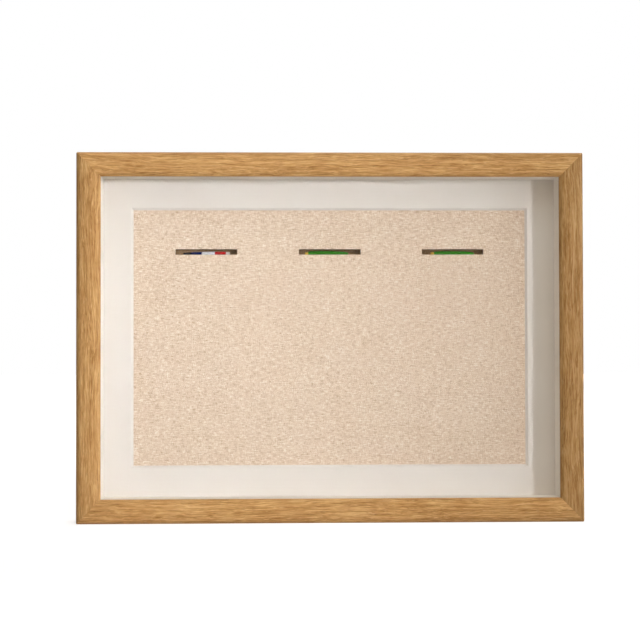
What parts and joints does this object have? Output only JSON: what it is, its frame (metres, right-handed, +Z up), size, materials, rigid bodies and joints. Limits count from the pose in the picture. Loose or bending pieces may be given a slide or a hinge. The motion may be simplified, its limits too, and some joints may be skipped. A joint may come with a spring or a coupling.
{
  "type": "medal display frame",
  "caption": "Landscape oak box frame with a linen back board behind a bevelled mat, slotted for medal ribbons, with turn buttons and hangers behind.",
  "frame": {"origin": "under the middle of the whole object, on the flat underside of the bottom rail", "axes": "+X to the right and +Z up as seen from the front; the front with its glazing faces -Y"},
  "size_m": [0.322, 0.0372, 0.235],
  "materials": {
    "oak": "light oak with a clear satin lacquer",
    "glazing": "clear low-reflection picture glass",
    "liner_card": "matt off-white lining card",
    "mat_card": "matt off-white mount card with a paler core",
    "linen": "unbleached cream slub linen weave",
    "fibreboard": "brown medium density fibreboard",
    "striped_ribbon": "ribbed ribbon in blue, white and red stripes",
    "green_ribbon": "ribbed green ribbon with a thin yellow edge",
    "tape": "buff paper tape",
    "zinc_plate": "bright zinc plate",
    "nickel_plate": "nickel plate",
    "wedge_steel": "plain spring steel",
    "bumper_rubber": "matt black rubber"
  },
  "bodies": {
    "frame": {"rail_top": "oak", "rail_bottom": "oak", "stile_left": "oak", "stile_right": "oak", "corner_wedges": "wedge_steel", "glazing": "glazing", "liner_top": "liner_card", "packing_top": "fibreboard", "liner_bottom": "liner_card", "packing_bottom": "fibreboard", "liner_left": "liner_card", "packing_left": "fibreboard", "liner_right": "liner_card", "packing_right": "fibreboard", "window_mat": "mat_card", "linen_cover": "linen", "slotted_board": "fibreboard", "ribbon_left": "striped_ribbon", "ribbon_centre": "green_ribbon", "ribbon_right": "green_ribbon", "ribbon_tapes": "tape", "back_board": "fibreboard", "turn_button_screws": "zinc_plate", "hanger_strap_left": "nickel_plate", "wall_bumper_left": "bumper_rubber", "hanger_strap_right": "nickel_plate", "wall_bumper_right": "bumper_rubber", "hanger_screws": "zinc_plate"},
    "turn_button_top_left": {"turn_button_top_left": "zinc_plate"},
    "turn_button_top_right": {"turn_button_top_right": "zinc_plate"},
    "turn_button_bottom_left": {"turn_button_bottom_left": "zinc_plate"},
    "turn_button_bottom_right": {"turn_button_bottom_right": "zinc_plate"},
    "turn_button_side_left": {"turn_button_side_left": "zinc_plate"},
    "turn_button_side_right": {"turn_button_side_right": "zinc_plate"},
    "hanger_ring_left": {"hanger_ring_left": "nickel_plate"},
    "hanger_ring_right": {"hanger_ring_right": "nickel_plate"}
  },
  "joints": [
    {"name": "turn_button_top_left_swivel", "type": "hinge", "parent": "frame", "child": "turn_button_top_left", "pos_m": [-0.0805, 0.01455, 0.22925], "axis": [0, 1, 0], "continuous": true},
    {"name": "turn_button_top_right_swivel", "type": "hinge", "parent": "frame", "child": "turn_button_top_right", "pos_m": [0.0805, 0.01455, 0.22925], "axis": [0, 1, 0], "continuous": true},
    {"name": "turn_button_bottom_left_swivel", "type": "hinge", "parent": "frame", "child": "turn_button_bottom_left", "pos_m": [-0.0805, 0.01455, 0.00575], "axis": [0, 1, 0], "continuous": true},
    {"name": "turn_button_bottom_right_swivel", "type": "hinge", "parent": "frame", "child": "turn_button_bottom_right", "pos_m": [0.0805, 0.01455, 0.00575], "axis": [0, 1, 0], "continuous": true},
    {"name": "turn_button_side_left_swivel", "type": "hinge", "parent": "frame", "child": "turn_button_side_left", "pos_m": [-0.15525, 0.01455, 0.1175], "axis": [0, 1, 0], "continuous": true},
    {"name": "turn_button_side_right_swivel", "type": "hinge", "parent": "frame", "child": "turn_button_side_right", "pos_m": [0.15525, 0.01455, 0.1175], "axis": [0, 1, 0], "continuous": true},
    {"name": "hanger_ring_left_swing", "type": "hinge", "parent": "frame", "child": "hanger_ring_left", "pos_m": [-0.15525, 0.01618, 0.175], "axis": [1, 0, 0], "range_deg": [0, 174]},
    {"name": "hanger_ring_right_swing", "type": "hinge", "parent": "frame", "child": "hanger_ring_right", "pos_m": [0.15525, 0.01618, 0.175], "axis": [1, 0, 0], "range_deg": [0, 174]}
  ]
}
